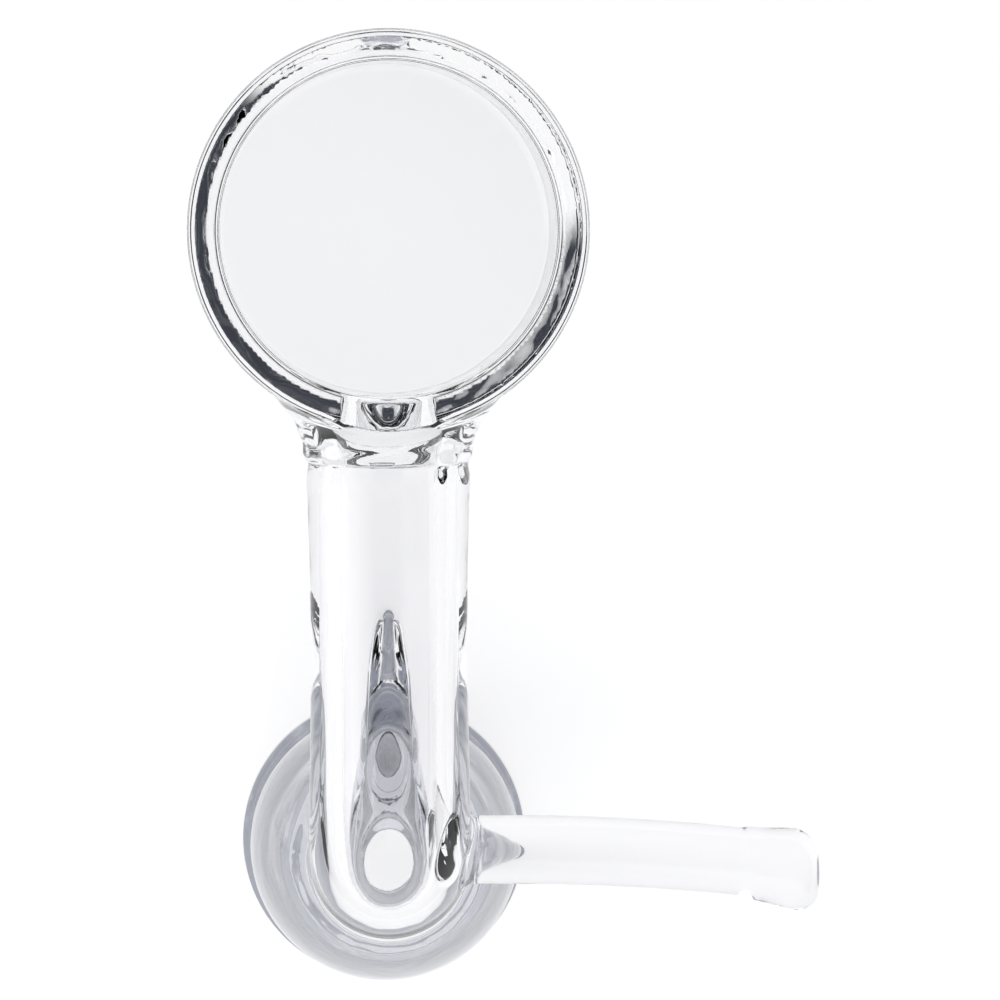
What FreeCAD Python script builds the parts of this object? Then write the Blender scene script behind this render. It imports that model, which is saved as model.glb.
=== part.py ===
import FreeCAD, Part

# A clear fused-quartz bucket on a bent neck, with a ground socket joint and a solid side handle.
#
# The real thing is flame-worked from cut blanks: a thick tube on a disc makes the bucket, a thinner tube
# makes the neck, a taper socket with a rolled lip makes the joint, and a rod with a rounded end makes the
# handle.
# Every blank is a sub-part, and so is every melted zone between two blanks.
#
# Frame: millimetres, +Z up along the socket's axis, origin in the middle of the socket's mouth plane. The
# bucket stands towards +Y and the handle points towards +X.

import os

import Sketcher

DRIVING = [
    # alias, size in mm, meaning
    ("bucket_diameter", 25.0, "outside of the bucket's tube"),
    ("bucket_wall", 2.0, "wall of the bucket's tube"),
    ("bucket_height", 22.0, "underside of the disc to the rim"),
    ("base_thickness", 3.4, "disc that closes the bucket, under its tube"),
    ("rim_rounding", 0.55, "fire-polished outer edge of the rim"),
    ("rim_inner_rounding", 0.35, "fire-polished inner edge of the rim"),
    ("rim_above_weld", 0.6, "top of the neck's melted zone to the rim"),
    ("heel_bevel", 1.4, "bevel round the bucket's underside, at 45 degrees"),
    ("reach", 40.3, "socket axis to bucket axis"),
    ("neck_diameter", 10.0, "outside of the neck's tube"),
    ("neck_bore", 6.0, "bore of the neck's tube"),
    ("bend_inner_radius", 2.0, "inside of the neck's bend"),
    ("neck_weld_length", 2.6, "melted zone along the neck, outside the bucket"),
    ("neck_weld_spread", 1.4, "how far that zone flares past the neck's own radius"),
    ("socket_mouth", 14.5, "bore of the ground socket at its mouth"),
    ("socket_taper", 0.1, "loss of diameter for each mm of depth"),
    ("socket_wall", 1.55, "wall of the socket at its mouth"),
    ("ground_depth", 19.0, "depth of the ground, tapered bore"),
    ("shoulder_height", 5.2, "end of the ground bore to the socket's top"),
    ("shoulder_lead", 0.8, "how far below the ground bore's end the outside begins to close"),
    ("shoulder_rounding", 5.0, "outside of the shoulder"),
    ("crown_height", 1.0, "upright edge of the socket's top"),
    ("lip_stand_out", 0.5, "how far the rolled lip stands out from the socket"),
    ("lip_height", 2.2, "height of the rolled lip"),
    ("lip_rounding", 0.9, "lower outer edge of the rolled lip"),
    ("lip_top_rounding", 0.45, "upper outer edge of the rolled lip"),
    ("mouth_rounding", 0.3, "inner edge of the mouth"),
    ("socket_weld_height", 1.8, "melted ring between the socket and the bend"),
    ("socket_weld_spread", 1.2, "how far that ring stands out past the neck's own radius"),
    ("web_length", 15.0, "how far the web under the neck reaches from the socket's axis"),
    ("web_back", 3.0, "how far the web's top reaches behind the socket's axis"),
    ("web_top_drop", 1.3, "web's top below the neck's centre line"),
    ("web_inset", 0.5, "web's top inside the neck's side"),
    ("handle_diameter", 4.35, "handle rod"),
    ("handle_reach", 27.1, "socket axis to the handle's end"),
    ("handle_sweep", 125, "radius of the rod's slight sideways curve"),
    ("handle_rise", 3.7, "handle's axis above the bend's lower end"),
    ("handle_offset", 1.1, "handle's axis towards +Y from the socket's axis"),
    ("handle_weld_length", 1.9, "melted zone along the rod"),
    ("handle_weld_spread", 0.7, "how far that zone flares past the rod's radius at the bend's side"),
    ("knob_length", 4.2, "rounded gather at the handle's end"),
    ("knob_taper", 1.2, "part of that length over which it swells"),
    ("knob_swell", 0.45, "how far it swells past the rod's radius, and hangs off the rod's line"),
    ("knob_rounding", 1.5, "edge of the gather's end"),
]

doc = FreeCAD.newDocument("quartz_bucket")
sheet = doc.addObject("Spreadsheet::Sheet", "Sizes")
for row, (alias, dimension, meaning) in enumerate(DRIVING, start=1):
    sheet.set(f"A{row}", alias)
    sheet.set(f"B{row}", str(dimension))
    sheet.set(f"C{row}", meaning)
    sheet.setAlias(f"B{row}", alias)
doc.recompute()

# Lengths that follow from the driving ones, as expressions.
NECK_RADIUS = "(Sizes.neck_diameter / 2)"
BORE_RADIUS = "(Sizes.neck_bore / 2)"
BEND_RADIUS = f"({NECK_RADIUS} + Sizes.bend_inner_radius)"
MOUTH_RADIUS = "(Sizes.socket_mouth / 2)"
SOCKET_RADIUS = f"({MOUTH_RADIUS} + Sizes.socket_wall)"
LIP_RADIUS = f"({SOCKET_RADIUS} + Sizes.lip_stand_out)"
SHOULDER = "(Sizes.ground_depth - Sizes.shoulder_lead)"
SOCKET_TOP = "(Sizes.ground_depth + Sizes.shoulder_height)"
RING_RADIUS = f"({NECK_RADIUS} + Sizes.socket_weld_spread)"
BEND_START = f"({SOCKET_TOP} + Sizes.socket_weld_height)"
NECK_HEIGHT = f"({BEND_START} + {BEND_RADIUS})"
BUCKET_RADIUS = "(Sizes.bucket_diameter / 2)"
CAVITY_RADIUS = f"({BUCKET_RADIUS} - Sizes.bucket_wall)"
FLARE_RADIUS = f"({NECK_RADIUS} + Sizes.neck_weld_spread)"
FLARE_ROOT = f"(Sizes.reach - sqrt(pow({BUCKET_RADIUS}; 2) - pow({FLARE_RADIUS}; 2)))"
UNDERSIDE = f"({NECK_HEIGHT} + {FLARE_RADIUS} + Sizes.rim_above_weld - Sizes.bucket_height)"
CAVITY_DEPTH = "(Sizes.bucket_height - Sizes.base_thickness)"
FLOOR = f"({UNDERSIDE} + Sizes.base_thickness)"
NECK_END = f"(Sizes.reach - {BUCKET_RADIUS} - Sizes.neck_weld_length)"
WEB_MIDDLE = "((Sizes.web_length - Sizes.web_back) / 2)"
WEB_LENGTH = "(Sizes.web_length + Sizes.web_back)"
WEB_WIDTH = "(Sizes.neck_diameter - 2 * Sizes.web_inset)"
ROD_RADIUS = "(Sizes.handle_diameter / 2)"
ROD_Z = f"({BEND_START} + Sizes.handle_rise)"
ROD_START = f"({NECK_RADIUS} + Sizes.handle_weld_length)"
ROD_LENGTH = f"(Sizes.handle_reach - Sizes.knob_length - {ROD_START})"
ROD_TURN = f"({ROD_LENGTH} / Sizes.handle_sweep * 180 / pi)"
KNOB_RADIUS = f"({ROD_RADIUS} + Sizes.knob_swell)"

ALONG_Y = FreeCAD.Rotation(FreeCAD.Vector(1, 0, 0), -90)
ALONG_X = FreeCAD.Rotation(FreeCAD.Vector(0, 1, 0), 90)


def size(expression):
    """The present value of an expression."""
    return float(sheet.evalExpression(expression))


def ground_radius(height):
    """Radius of the ground bore at a height above the mouth plane, as an expression."""
    return f"({MOUTH_RADIUS} - Sizes.socket_taper / 2 * {height})"


def place(item, x, y, z):
    """Binds an object's position to three expressions."""
    for axis, expression in zip("xyz", (x, y, z)):
        item.setExpression(f"Placement.Base.{axis}", expression)


def new_body(name, x="0", y="0", z="0"):
    """A body whose own origin stands at x, y, z."""
    body = doc.addObject("PartDesign::Body", name)
    place(body, x, y, z)
    return body


def sketch_on(body, role, name, lift="0"):
    """An empty sketch on one of the body's own origin planes, or lifted off it along its normal."""
    plane = next(feature for feature in body.Origin.OriginFeatures if feature.Role == role)
    sketch = body.newObject("Sketcher::SketchObject", name)
    sketch.AttachmentSupport = [(plane, "")]
    sketch.MapMode = "FlatFace"
    sketch.setExpression("AttachmentOffset.Base.z", lift)
    return sketch


def bind(sketch, kind, *arguments):
    """Adds a sized constraint; the last argument is the expression that drives it."""
    *places, expression = arguments
    number = sketch.addConstraint(Sketcher.Constraint(kind, *places, size(expression)))
    sketch.setExpression(f"Constraints[{number}]", expression)


def draw_outline(sketch, corners):
    """A closed outline of straight lines; each corner is a pair of expressions from the sketch's origin."""
    points = [FreeCAD.Vector(size(x), size(y), 0) for x, y in corners]
    count = len(corners)
    for i in range(count):
        sketch.addGeometry(Part.LineSegment(points[i], points[(i + 1) % count]), False)
    for i in range(count):
        sketch.addConstraint(Sketcher.Constraint("Coincident", i, 2, (i + 1) % count, 1))
    for i, (x, y) in enumerate(corners):
        bind(sketch, "DistanceX", -1, 1, i, 1, x)
        bind(sketch, "DistanceY", -1, 1, i, 1, y)


def draw_circle(sketch, radius, x="0", y="0"):
    """A circle of the given radius about x, y."""
    centre = FreeCAD.Vector(size(x), size(y), 0)
    number = sketch.addGeometry(Part.Circle(centre, FreeCAD.Vector(0, 0, 1), size(radius)), False)
    bind(sketch, "Radius", number, radius)
    bind(sketch, "DistanceX", -1, 1, number, 3, x)
    bind(sketch, "DistanceY", -1, 1, number, 3, y)


def revolve(body, sketch, axis, name, degrees="360", reverse=False):
    """Turns a sketch about one of its own axes."""
    turned = body.newObject("PartDesign::Revolution", name)
    turned.Profile = sketch
    turned.ReferenceAxis = (sketch, [axis])
    turned.setExpression("Angle", degrees)
    turned.Reversed = reverse
    doc.recompute()
    return turned


def pad(body, sketch, length, name, reverse=False):
    """Extrudes a sketch along its normal, or against it."""
    extruded = body.newObject("PartDesign::Pad", name)
    extruded.Profile = sketch
    extruded.setExpression("Length", length)
    extruded.Reversed = reverse
    doc.recompute()
    return extruded


def loft(body, start, end, name):
    """Joins two sketches with straight rulings."""
    joined = body.newObject("PartDesign::AdditiveLoft", name)
    joined.Profile = start
    joined.Sections = [end]
    joined.Ruled = True
    doc.recompute()
    return joined


def round_rings(body, feature, rings, name, kind="PartDesign::Fillet", depth="Radius"):
    """Rounds or bevels circular edges of a turned shape; a ring is (radius, height, size) in the body's frame."""
    for count, (radius, height, rounding) in enumerate(rings):
        wide, high = size(radius), size(height)
        edges = [
            f"Edge{i}"
            for i, edge in enumerate(feature.Shape.Edges, start=1)
            if edge.Curve.TypeId == "Part::GeomCircle"
            and abs(edge.Curve.Radius - wide) < 1e-4
            and abs(edge.Curve.Center.z - high) < 1e-4
        ]
        if not edges:
            raise RuntimeError(f"{name}: no ring of radius {wide:.3f} at height {high:.3f}")
        fillet = body.newObject(kind, f"{name}_{count}")
        fillet.Base = (feature, edges)
        fillet.setExpression(depth, rounding)
        doc.recompute()
        feature = fillet
    return feature


def combine(kind, label, base, tool):
    """A boolean of two objects, such as Part::Cut."""
    result = doc.addObject(kind, label)
    result.Base = base
    result.Tool = tool
    doc.recompute()
    return result


def cylinder(label, radius, length, x="0", y="0", z="0", turn=FreeCAD.Rotation()):
    """A cylinder whose foot stands at x, y, z, along +Z or turned to another axis."""
    made = doc.addObject("Part::Cylinder", label)
    made.Placement.Rotation = turn
    made.setExpression("Radius", radius)
    made.setExpression("Height", length)
    place(made, x, y, z)
    doc.recompute()
    return made


def make_bucket_wall(flare):
    """The bucket's tube, from its floor to its rim, with the neck's melted zone taken out of its side."""
    body = new_body("bucket_blank", y="Sizes.reach", z=FLOOR)
    sketch = sketch_on(body, "XZ_Plane", "bucket_profile")
    draw_outline(
        sketch,
        [
            (CAVITY_RADIUS, "0"),
            (BUCKET_RADIUS, "0"),
            (BUCKET_RADIUS, CAVITY_DEPTH),
            (CAVITY_RADIUS, CAVITY_DEPTH),
        ],
    )
    tube = revolve(body, sketch, "V_Axis", "bucket_turned")
    rings = [
        (BUCKET_RADIUS, CAVITY_DEPTH, "Sizes.rim_rounding"),
        (CAVITY_RADIUS, CAVITY_DEPTH, "Sizes.rim_inner_rounding"),
    ]
    round_rings(body, tube, rings, "bucket_rim")
    return combine("Part::Cut", "bucket_wall", body, flare)


def make_bucket_base():
    """The disc fused across the lower end of the bucket's tube."""
    body = new_body("bucket_base", y="Sizes.reach", z=UNDERSIDE)
    sketch = sketch_on(body, "XY_Plane", "base_outline")
    draw_circle(sketch, BUCKET_RADIUS)
    disc = pad(body, sketch, "Sizes.base_thickness", "base_disc")
    heel = [(BUCKET_RADIUS, "0", "Sizes.heel_bevel")]
    round_rings(body, disc, heel, "bucket_heel", "PartDesign::Chamfer", "Size")
    return body


def make_flare():
    """The solid of revolution round the neck's line that the melted zone fills, up to the bucket's axis."""
    body = new_body("neck_flare", z=NECK_HEIGHT)
    sketch = sketch_on(body, "XY_Plane", "neck_flare_profile")
    draw_outline(
        sketch,
        [
            ("0", NECK_END),
            (NECK_RADIUS, NECK_END),
            (FLARE_RADIUS, FLARE_ROOT),
            (FLARE_RADIUS, "Sizes.reach"),
            ("0", "Sizes.reach"),
        ],
    )
    revolve(body, sketch, "V_Axis", "neck_flare_turned")
    return body


def make_neck_weld(flare):
    """The melted zone between bucket and neck: a flared ring with a saddle face, bored through."""
    cavity = cylinder("bucket_cavity", CAVITY_RADIUS, CAVITY_DEPTH, y="Sizes.reach", z=FLOOR)
    bore = cylinder("neck_weld_bore", BORE_RADIUS, "Sizes.reach", z=NECK_HEIGHT, turn=ALONG_Y)
    ring = combine("Part::Cut", "neck_weld_ring", flare, cavity)
    return combine("Part::Cut", "neck_weld", ring, bore)


def make_bent_bar(name, radius):
    """A solid round bar along the neck's line: a straight run from the bucket's side, then a bend down."""
    body = new_body(name, y=BEND_RADIUS, z=BEND_START)
    run_section = sketch_on(body, "XZ_Plane", f"{name}_run_section")
    draw_circle(run_section, radius, y=BEND_RADIUS)
    pad(body, run_section, f"{NECK_END} - {BEND_RADIUS}", f"{name}_run", reverse=True)
    bend_section = sketch_on(body, "XZ_Plane", f"{name}_bend_section")
    draw_circle(bend_section, radius, y=BEND_RADIUS)
    revolve(body, bend_section, "H_Axis", f"{name}_bend", degrees="90")
    return body


def make_socket_joint():
    """The ground socket: a tapered bore inside a parallel wall, and a domed shoulder to the neck's bore."""
    body = new_body("socket_joint")
    sketch = sketch_on(body, "XZ_Plane", "socket_profile")
    draw_outline(
        sketch,
        [
            (ground_radius("Sizes.lip_height"), "Sizes.lip_height"),
            (SOCKET_RADIUS, "Sizes.lip_height"),
            (SOCKET_RADIUS, SHOULDER),
            (RING_RADIUS, f"{SOCKET_TOP} - Sizes.crown_height"),
            (RING_RADIUS, SOCKET_TOP),
            (BORE_RADIUS, SOCKET_TOP),
            (ground_radius("Sizes.ground_depth"), "Sizes.ground_depth"),
        ],
    )
    turned = revolve(body, sketch, "V_Axis", "socket_turned")
    round_rings(body, turned, [(SOCKET_RADIUS, SHOULDER, "Sizes.shoulder_rounding")], "socket_edge")
    return body


def make_socket_lip():
    """The rolled lip round the socket's mouth."""
    body = new_body("socket_lip")
    sketch = sketch_on(body, "XZ_Plane", "lip_profile")
    draw_outline(
        sketch,
        [
            (MOUTH_RADIUS, "0"),
            (LIP_RADIUS, "0"),
            (LIP_RADIUS, "Sizes.lip_height"),
            (ground_radius("Sizes.lip_height"), "Sizes.lip_height"),
        ],
    )
    turned = revolve(body, sketch, "V_Axis", "lip_turned")
    rings = [
        (LIP_RADIUS, "0", "Sizes.lip_rounding"),
        (LIP_RADIUS, "Sizes.lip_height", "Sizes.lip_top_rounding"),
        (MOUTH_RADIUS, "0", "Sizes.mouth_rounding"),
    ]
    round_rings(body, turned, rings, "lip_edge")
    return body


def draw_oval(sketch, width, length, middle):
    """An ellipse of the given width and length, its length along the sketch's vertical axis."""
    centre = FreeCAD.Vector(0, size(middle), 0)
    tip = centre + FreeCAD.Vector(0, size(length) / 2, 0)
    side = centre + FreeCAD.Vector(size(width) / 2, 0, 0)
    number = sketch.addGeometry(Part.Ellipse(tip, side, centre), False)
    sketch.exposeInternalGeometry(number)
    long_axis, short_axis = number + 1, number + 2
    sketch.addConstraint(Sketcher.Constraint("Vertical", long_axis))
    bind(sketch, "Distance", long_axis, length)
    bind(sketch, "Distance", short_axis, width)
    bind(sketch, "DistanceX", -1, 1, number, 3, "0")
    bind(sketch, "DistanceY", -1, 1, number, 3, middle)


def make_socket_weld(neck_bar):
    """The melted ring between socket and bend, drawn out into a web that runs up to the neck's underside."""
    body = new_body("web_blank", z=SOCKET_TOP)
    foot = sketch_on(body, "XY_Plane", "web_foot")
    draw_circle(foot, RING_RADIUS)
    top = sketch_on(body, "XY_Plane", "web_top", lift=f"{NECK_HEIGHT} - Sizes.web_top_drop - {SOCKET_TOP}")
    draw_oval(top, WEB_WIDTH, WEB_LENGTH, WEB_MIDDLE)
    loft(body, foot, top, "web_loft")
    bore = cylinder("socket_weld_bore", BORE_RADIUS, BEND_RADIUS, z=SOCKET_TOP)
    web = combine("Part::Cut", "web_under_neck", body, neck_bar)
    return combine("Part::Cut", "socket_weld", web, bore)


def make_handle_weld(neck_bar, socket_weld):
    """The handle's melted root: a taper out to the rod, seated on the bend's side and the socket's weld."""
    taper = doc.addObject("Part::Cone", "handle_taper")
    taper.Placement.Rotation = ALONG_X
    taper.setExpression("Radius1", f"{ROD_RADIUS} + Sizes.handle_weld_spread * 2")
    taper.setExpression("Radius2", ROD_RADIUS)
    taper.setExpression("Height", "Sizes.handle_weld_length * 2")
    place(taper, f"{ROD_START} - Sizes.handle_weld_length * 2", "Sizes.handle_offset", ROD_Z)
    doc.recompute()
    seated = combine("Part::Cut", "handle_root", taper, neck_bar)
    return combine("Part::Cut", "handle_weld", seated, socket_weld)


def make_handle_rod():
    """The solid rod, bent to a wide radius so that it runs off towards -Y."""
    body = new_body("handle_rod", x=ROD_START, y="Sizes.handle_offset - Sizes.handle_sweep", z=ROD_Z)
    sketch = sketch_on(body, "YZ_Plane", "rod_section")
    draw_circle(sketch, ROD_RADIUS, x="Sizes.handle_sweep")
    revolve(body, sketch, "V_Axis", "rod_turned", degrees=ROD_TURN, reverse=True)
    return body


def make_handle_knob():
    """The gather at the rod's end: it swells from the rod to a short barrel that hangs off towards -Y."""
    body = new_body(
        "handle_knob",
        x=f"{ROD_START} + Sizes.handle_sweep * sin({ROD_TURN} * 1 deg)",
        y=f"Sizes.handle_offset - Sizes.handle_sweep * (1 - cos({ROD_TURN} * 1 deg))",
        z=ROD_Z,
    )
    body.setExpression("Placement.Rotation.Angle", f"-{ROD_TURN} * 1 deg")
    root = sketch_on(body, "YZ_Plane", "knob_root")
    draw_circle(root, ROD_RADIUS)
    barrel = sketch_on(body, "YZ_Plane", "knob_barrel", lift="Sizes.knob_taper")
    draw_circle(barrel, KNOB_RADIUS, x="-Sizes.knob_swell")
    loft(body, root, barrel, "knob_shoulder")
    section = sketch_on(body, "YZ_Plane", "knob_section", lift="Sizes.knob_taper")
    draw_circle(section, KNOB_RADIUS, x="-Sizes.knob_swell")
    end = pad(body, section, "Sizes.knob_length - Sizes.knob_taper", "knob_pad")
    length = size("Sizes.knob_length")
    rim = [
        f"Edge{i}"
        for i, edge in enumerate(end.Shape.Edges, start=1)
        if all(abs(vertex.Point.x - length) < 1e-4 for vertex in edge.Vertexes)
    ]
    rounded = body.newObject("PartDesign::Fillet", "knob_end")
    rounded.Base = (end, rim)
    rounded.setExpression("Radius", "Sizes.knob_rounding")
    doc.recompute()
    return body


def check_document():
    """Stops if any object of the document failed to build."""
    for item in doc.Objects:
        if "Invalid" in item.State or "Error" in item.State:
            raise RuntimeError(f"{item.Label} failed: {item.State}")


def write_parts(nodes):
    """Writes each sub-part's shape to a file of its own, once all of them are sound."""
    for node in nodes:
        shape = node.Shape
        if shape.isNull() or not shape.isValid() or len(shape.Solids) != 1:
            raise RuntimeError(f"{node.Label} isn't one sound solid")
    os.makedirs("parts", exist_ok=True)
    for node in nodes:
        node.Shape.exportStep(f"parts/{node.Label}.step")


def main():
    flare = make_flare()
    neck_bar = make_bent_bar("neck_bar", NECK_RADIUS)
    bore_bar = make_bent_bar("bore_bar", BORE_RADIUS)
    socket_weld = make_socket_weld(neck_bar)
    nodes = [
        make_bucket_wall(flare),
        make_bucket_base(),
        make_neck_weld(flare),
        combine("Part::Cut", "neck_tube", neck_bar, bore_bar),
        socket_weld,
        make_socket_joint(),
        make_socket_lip(),
        make_handle_weld(neck_bar, socket_weld),
        make_handle_rod(),
        make_handle_knob(),
    ]
    doc.recompute()
    check_document()
    write_parts(nodes)


main()
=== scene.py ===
import math

import bpy
import numpy as np
from mathutils import Matrix, Vector


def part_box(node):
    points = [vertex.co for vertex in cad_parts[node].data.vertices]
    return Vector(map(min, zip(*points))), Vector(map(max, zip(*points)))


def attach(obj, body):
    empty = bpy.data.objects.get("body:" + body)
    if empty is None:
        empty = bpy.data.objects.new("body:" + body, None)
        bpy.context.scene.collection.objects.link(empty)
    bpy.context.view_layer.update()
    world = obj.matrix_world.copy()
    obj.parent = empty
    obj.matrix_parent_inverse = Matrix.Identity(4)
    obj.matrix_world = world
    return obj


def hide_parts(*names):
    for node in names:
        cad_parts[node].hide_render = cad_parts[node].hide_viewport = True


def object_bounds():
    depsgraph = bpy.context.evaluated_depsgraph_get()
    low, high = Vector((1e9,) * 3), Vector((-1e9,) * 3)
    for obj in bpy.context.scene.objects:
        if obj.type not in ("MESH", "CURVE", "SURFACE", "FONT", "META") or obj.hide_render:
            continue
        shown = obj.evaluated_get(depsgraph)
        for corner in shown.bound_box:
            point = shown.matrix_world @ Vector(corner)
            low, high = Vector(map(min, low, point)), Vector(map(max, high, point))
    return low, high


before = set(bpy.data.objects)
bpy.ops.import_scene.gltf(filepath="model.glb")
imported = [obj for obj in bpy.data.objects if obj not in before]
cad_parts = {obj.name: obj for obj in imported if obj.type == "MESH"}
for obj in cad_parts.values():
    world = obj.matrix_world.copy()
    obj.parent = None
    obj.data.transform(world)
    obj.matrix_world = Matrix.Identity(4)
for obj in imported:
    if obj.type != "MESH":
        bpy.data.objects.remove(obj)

CAD_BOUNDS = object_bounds()

bl_info = {
    "name": "Quartz bucket with ground socket",
    "version": (1, 0, 0),
    "blender": (4, 5, 0),
    "location": "View3D > Sidebar > Quartz",
    "description": "Clear fused-quartz bucket on a bent neck, with a ground socket and a solid side handle",
    "category": "Object",
}

MM = 0.001


# ---------------------------------------------------------------------------------------------------------
# Sizes that come from the frame, in millimetres
# ---------------------------------------------------------------------------------------------------------


def span(node, axis):
    """Lowest and highest place of a frame node along an axis (0, 1 or 2), in millimetres."""
    low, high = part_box(node)
    return low[axis] / MM, high[axis] / MM


BASE_LOW, FLOOR = span("bucket_base", 2)
RIM = span("bucket_wall", 2)[1]
BUCKET_LEFT, BUCKET_RIGHT = span("bucket_base", 0)
BUCKET_RADIUS = (BUCKET_RIGHT - BUCKET_LEFT) / 2
BUCKET_Y = sum(span("bucket_base", 1)) / 2
NECK_LEFT, NECK_RIGHT = span("neck_tube", 0)
NECK_RADIUS = (NECK_RIGHT - NECK_LEFT) / 2
BEND_LOW, NECK_TOP = span("neck_tube", 2)
NECK_Z = NECK_TOP - NECK_RADIUS
BEND_RADIUS = NECK_Z - BEND_LOW
NECK_END = span("neck_tube", 1)[1]
SOCKET_RADIUS = span("socket_joint", 0)[1]
LIP_HEIGHT, SOCKET_TOP = span("socket_joint", 2)
LIP_RADIUS = span("socket_lip", 0)[1]
ROD_START = span("handle_rod", 0)[0]
ROD_LOW, ROD_HIGH = span("handle_rod", 2)
ROD_RADIUS = (ROD_HIGH - ROD_LOW) / 2
ROD_Z = (ROD_LOW + ROD_HIGH) / 2
ROD_Y = span("handle_rod", 1)[1] - ROD_RADIUS
KNOB_START, HANDLE_END = span("handle_knob", 0)
BOX_LOW, BOX_HIGH = ([value / MM for value in corner] for corner in CAD_BOUNDS)


def length(name, description, default_mm, low=0.0, high=60.0):
    """A length property, given in millimetres and kept in metres."""
    return bpy.props.FloatProperty(
        name=name, description=description, default=default_mm * MM, min=low * MM, max=high * MM,
        unit="LENGTH", precision=5,
    )


class BlankSizes(bpy.types.PropertyGroup):
    """Walls, bores and tapers of the cut blanks."""

    wall: length("Bucket wall", "Thickness of the bucket's tube", 2.0)
    bore: length("Neck bore", "Inside diameter of the neck", 6.0)
    mouth: length("Socket mouth", "Ground bore at the mouth", 14.5)
    ground_depth: length("Ground depth", "Depth of the ground bore", 19.0)
    rod_sweep: length("Rod sweep", "Radius of the rod's sideways curve", 140.0, 0.0, 1000.0)
    waist: length("Neck waist", "How far the neck is drawn in at its middle", 0.05)
    swell: length("Neck swell", "How far the neck stands out where it was heated, at its two ends", 0.15)
    taper: bpy.props.FloatProperty(
        name="Socket taper", description="Loss of diameter over depth", default=0.1, min=0.0, max=0.3
    )


class MeltSizes(bpy.types.PropertyGroup):
    """Roundings and swells that the flame leaves."""

    rim: length("Rim", "Rounding of the rim's outer edge", 0.55)
    edge: length("Inner edges", "Rounding of the rim's and the mouth's inner edges", 0.35)
    heel: length("Heel", "Bevel under the bucket", 1.45)
    floor: length("Floor corner", "Fillet between the bucket's floor and wall", 0.6)
    flare: length("Neck flare", "Fillet between neck and bucket", 3.1)
    shoulder: length("Shoulder", "Rounding of the socket's shoulder", 4.5)
    lip: length("Lip", "Rounding under the lip", 0.9)
    lip_top: length("Lip top", "Rounding over the lip", 0.45)
    handle_root: length("Handle root", "Fillet between handle and bend", 0.7)
    waves: length("Waves", "Height of the waves in the melted zones", 0.07)
    grid: length("Mesh pitch", "Pitch of the grid that the skin is drawn from", 0.3, 0.1)


# ---------------------------------------------------------------------------------------------------------
# The glass as one distance field, in millimetres: negative inside the glass
# ---------------------------------------------------------------------------------------------------------


def blend_join(a, b, r):
    """Union of two distances with a fillet of radius r."""
    return np.maximum(r, np.minimum(a, b)) - np.hypot(np.maximum(r - a, 0), np.maximum(r - b, 0))


def blend_meet(a, b, r):
    """Intersection of two distances with a rounding of radius r."""
    return np.minimum(-r, np.maximum(a, b)) + np.hypot(np.maximum(r + a, 0), np.maximum(r + b, 0))


def ease(low, high, value):
    """Smooth step from 0 at low to 1 at high."""
    t = np.clip((value - low) / (high - low), 0, 1)
    return t * t * (3 - 2 * t)


def bell(value, centre, width):
    """A smooth bump of height 1 round centre."""
    return np.exp(-(((value - centre) / width) ** 2))


def cone_between(x, y, z, start, end):
    """Distance to a round cone; each end is (y, z, radius), in the plane x = 0."""
    along, up, grow = end[0] - start[0], end[1] - start[1], end[2] - start[2]
    t = np.clip(((y - start[0]) * along + (z - start[1]) * up) / (along**2 + up**2), 0, 1)
    off = np.sqrt(x * x + (y - start[0] - t * along) ** 2 + (z - start[1] - t * up) ** 2)
    return off - start[2] - t * grow


BEVEL_SLOPE = 44.4  # degrees
SHOULDER_WAY, SHOULDER_LEAD = (0.887, 0.461), 0.8  # direction of the shoulder's cone, and where it begins
ROOF_WAY = (0.844, 0.536)  # direction of the cone over the ground bore
# cones of melted glass under the neck: y, z and radius at each end, in millimetres
WEB = (0.8, 23.4, 5.3), (17.0, 28.8, 0.4)
APRON = (1.5, 19.6, 6.4), (7.0, 21.8, 4.2)
KNOB_SWELL = 0.42
FLOOR_MARK = (-0.8, 1.5, 2.1)  # a faint ring on the bucket's floor: x, y from the bucket's axis, and radius
BORE_WAIST = 1.6  # how far the bore is drawn in at the socket weld
FAR = 9.0  # a distance that stands for "nowhere near"


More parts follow.
